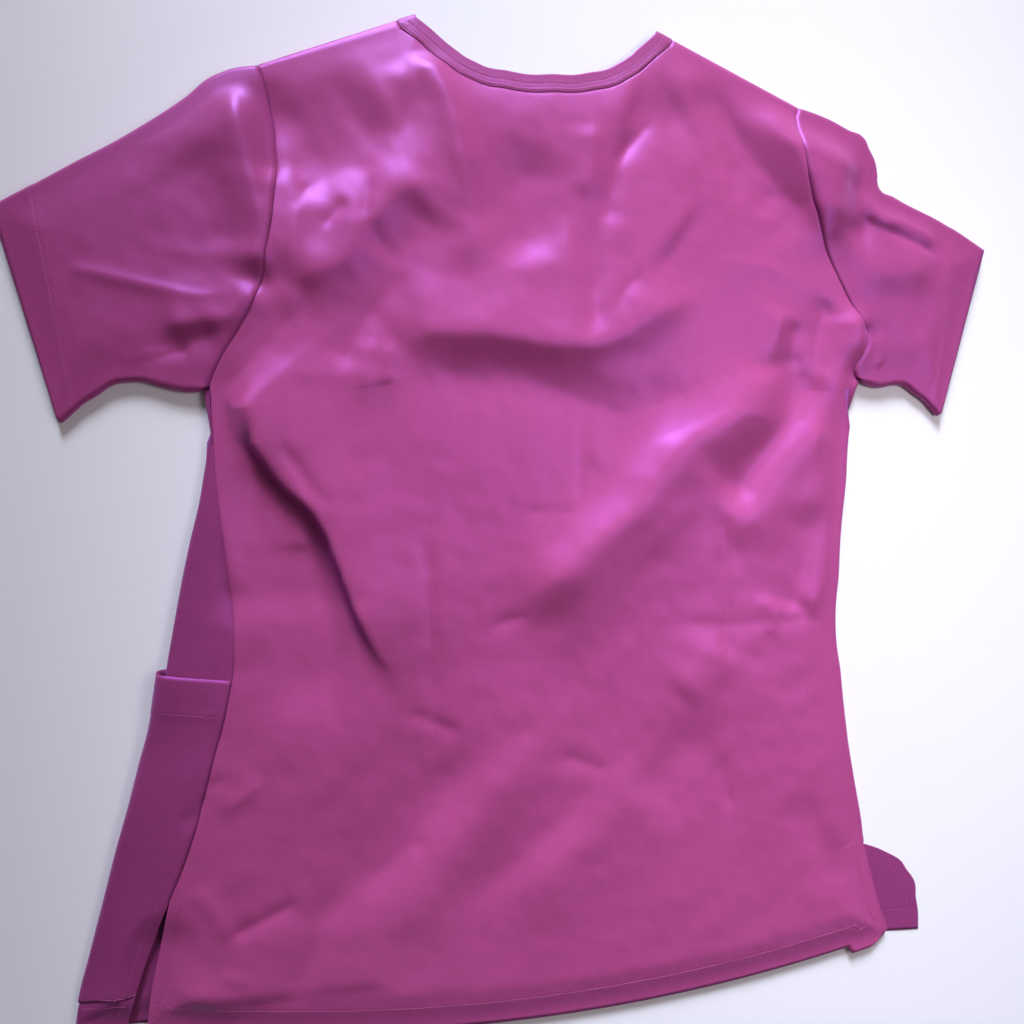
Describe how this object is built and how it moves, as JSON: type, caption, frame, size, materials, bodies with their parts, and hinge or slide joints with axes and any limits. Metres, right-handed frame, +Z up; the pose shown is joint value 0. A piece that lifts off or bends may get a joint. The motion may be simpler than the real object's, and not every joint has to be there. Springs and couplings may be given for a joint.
{
  "type": "scrub top",
  "caption": "Short-sleeved scrub top laid out flat on its front, back uppermost, with a darted back, a banded neck, side vents and a patch pocket at the hip.",
  "frame": {"origin": "centre of the bounding box on the surface that the garment lies on", "axes": "+X towards the wearer's right sleeve, +Y towards the neck, +Z up from the surface through the front to the back"},
  "size_m": [0.6767, 0.682, 0.0218],
  "materials": {
    "poplin_back": "plain-woven poplin with a soft sheen",
    "poplin_front": "plain-woven poplin with a soft sheen",
    "poplin_left_sleeve": "plain-woven poplin with a soft sheen",
    "poplin_right_sleeve": "plain-woven poplin with a soft sheen",
    "band_back": "the same poplin, folded double",
    "band_front": "the same poplin, folded double",
    "poplin_pocket": "plain-woven poplin with a soft sheen"
  },
  "bodies": {
    "root": {"back_panel": "poplin_back", "front_panel": "poplin_front", "left_sleeve": "poplin_left_sleeve", "right_sleeve": "poplin_right_sleeve", "back_neckband": "band_back", "front_neckband": "band_front", "left_pocket": "poplin_pocket"}
  },
  "joints": []
}
